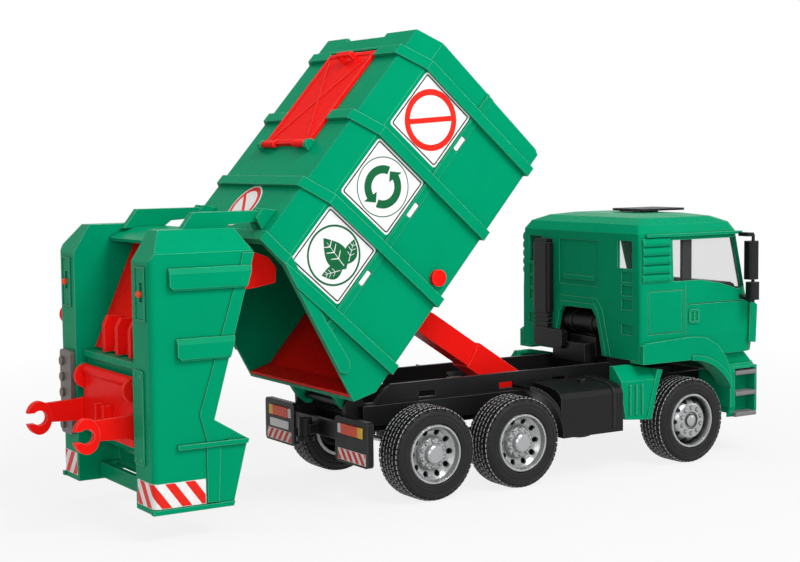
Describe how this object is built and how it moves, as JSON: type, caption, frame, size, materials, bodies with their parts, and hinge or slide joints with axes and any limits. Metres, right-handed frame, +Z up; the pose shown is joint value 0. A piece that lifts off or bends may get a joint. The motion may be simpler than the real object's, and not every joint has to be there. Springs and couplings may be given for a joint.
{
  "type": "toy garbage truck",
  "caption": "Toy rear-loading garbage truck with a tipping ribbed box, hinged tailgate with a bin lift, roof hatch, tilting cab and rolling wheels.",
  "frame": {"origin": "on the ground, in the middle of the overall length and width in the stored pose", "axes": "+X to the front of the truck, +Y to its left, +Z up"},
  "size_m": [0.5662, 0.178, 0.3248],
  "materials": {
    "green": "satin moulded plastic",
    "red": "satin moulded plastic",
    "black": "matt moulded plastic",
    "grey": "matt moulded plastic",
    "silver": "silver coloured plastic",
    "tyre": "matt soft plastic",
    "steel": "bright rod",
    "lamp_red": "gloss",
    "lamp_amber": "gloss",
    "lamp_clear": "gloss",
    "clear": "clear plastic",
    "taupe": "matt moulded plastic"
  },
  "bodies": {
    "chassis": {"chassis_frame": "black", "rear_lamp_beam": "black", "tail_lamps": "lamp_red", "turn_lamps": "lamp_amber", "tow_coupling": "black", "side_tank_left": "black", "side_tank_right": "black", "engine_block": "black", "cab_skirts": "green", "front_bumper": "green", "step_treads": "grey", "headlamps": "lamp_clear", "rear_axle": "steel", "middle_axle": "steel", "front_axle": "steel"},
    "cab": {"cab_shell": "green", "wheel_arches": "green", "cab_interior": "black", "cab_glazing": "clear", "front_grille": "black", "mirrors": "black", "roof_plate": "black", "intake_stack": "black"},
    "box": {"box_shell": "green", "box_discs": "red", "ejector_plate": "red"},
    "hatch": {"roof_hatch": "red"},
    "tailgate": {"tailgate_shell": "green", "hopper_insert": "red", "tailgate_bulbs": "lamp_red", "cover_strip": "green", "control_strip": "taupe", "side_knob": "red"},
    "lift": {"bin_lift": "red"},
    "barrel": {"ram_barrel": "red"},
    "rod": {"ram_rod": "red"},
    "rear_wheel_left": {"rear_tyre_left": "tyre", "rear_rim_left": "silver"},
    "rear_wheel_right": {"rear_tyre_right": "tyre", "rear_rim_right": "silver"},
    "middle_wheel_left": {"middle_tyre_left": "tyre", "middle_rim_left": "silver"},
    "middle_wheel_right": {"middle_tyre_right": "tyre", "middle_rim_right": "silver"},
    "front_wheel_left": {"front_tyre_left": "tyre", "front_rim_left": "silver"},
    "front_wheel_right": {"front_tyre_right": "tyre", "front_rim_right": "silver"}
  },
  "joints": [
    {"name": "rear_wheel_left_spin", "type": "hinge", "parent": "chassis", "child": "rear_wheel_left", "pos_m": [-0.03493, 0.065, 0.033], "axis": [0, 1, 0], "continuous": true},
    {"name": "rear_wheel_right_spin", "type": "hinge", "parent": "chassis", "child": "rear_wheel_right", "pos_m": [-0.03493, -0.065, 0.033], "axis": [0, 1, 0], "continuous": true},
    {"name": "middle_wheel_left_spin", "type": "hinge", "parent": "chassis", "child": "middle_wheel_left", "pos_m": [0.04007, 0.065, 0.033], "axis": [0, 1, 0], "continuous": true},
    {"name": "middle_wheel_right_spin", "type": "hinge", "parent": "chassis", "child": "middle_wheel_right", "pos_m": [0.04007, -0.065, 0.033], "axis": [0, 1, 0], "continuous": true},
    {"name": "front_wheel_left_spin", "type": "hinge", "parent": "chassis", "child": "front_wheel_left", "pos_m": [0.20207, 0.065, 0.033], "axis": [0, 1, 0], "continuous": true},
    {"name": "front_wheel_right_spin", "type": "hinge", "parent": "chassis", "child": "front_wheel_right", "pos_m": [0.20207, -0.065, 0.033], "axis": [0, 1, 0], "continuous": true},
    {"name": "box_tilt", "type": "hinge", "parent": "chassis", "child": "box", "pos_m": [-0.07643, 0, 0.066], "axis": [0, 1, 0], "range_deg": [0, 49]},
    {"name": "tailgate_swing", "type": "hinge", "parent": "box", "child": "tailgate", "pos_m": [-0.15198, 0, 0.19993], "axis": [0, -1, 0], "range_deg": [0, 44.81]},
    {"name": "ram_pivot", "type": "hinge", "parent": "chassis", "child": "barrel", "pos_m": [0.10707, 0, 0.048], "axis": [0, -1, 0], "range_deg": [0, 19.28]},
    {"name": "ram_extend", "type": "slide", "parent": "barrel", "child": "rod", "axis": [0.8365, 0, -0.548], "range_m": [0, 0.05708]},
    {"name": "hatch_lid", "type": "hinge", "parent": "box", "child": "hatch", "pos_m": [-0.10781, 0, 0.24753], "axis": [0, -1, 0], "range_deg": [0, 110]},
    {"name": "bin_lift_swing", "type": "hinge", "parent": "tailgate", "child": "lift", "pos_m": [-0.24143, 0, 0.0964], "axis": [0, 1, 0], "range_deg": [0, 110]},
    {"name": "cab_tilt", "type": "hinge", "parent": "chassis", "child": "cab", "pos_m": [0.27307, 0, 0.08], "axis": [0, 1, 0], "range_deg": [0, 50]}
  ],
  "couplings": [
    {"joint": "tailgate_swing", "follows": "box_tilt", "ratio": 0.91429},
    {"joint": "ram_pivot", "follows": "box_tilt", "ratio": 0.39324},
    {"joint": "ram_extend", "follows": "box_tilt", "m_per_rad": 0.066723}
  ]
}
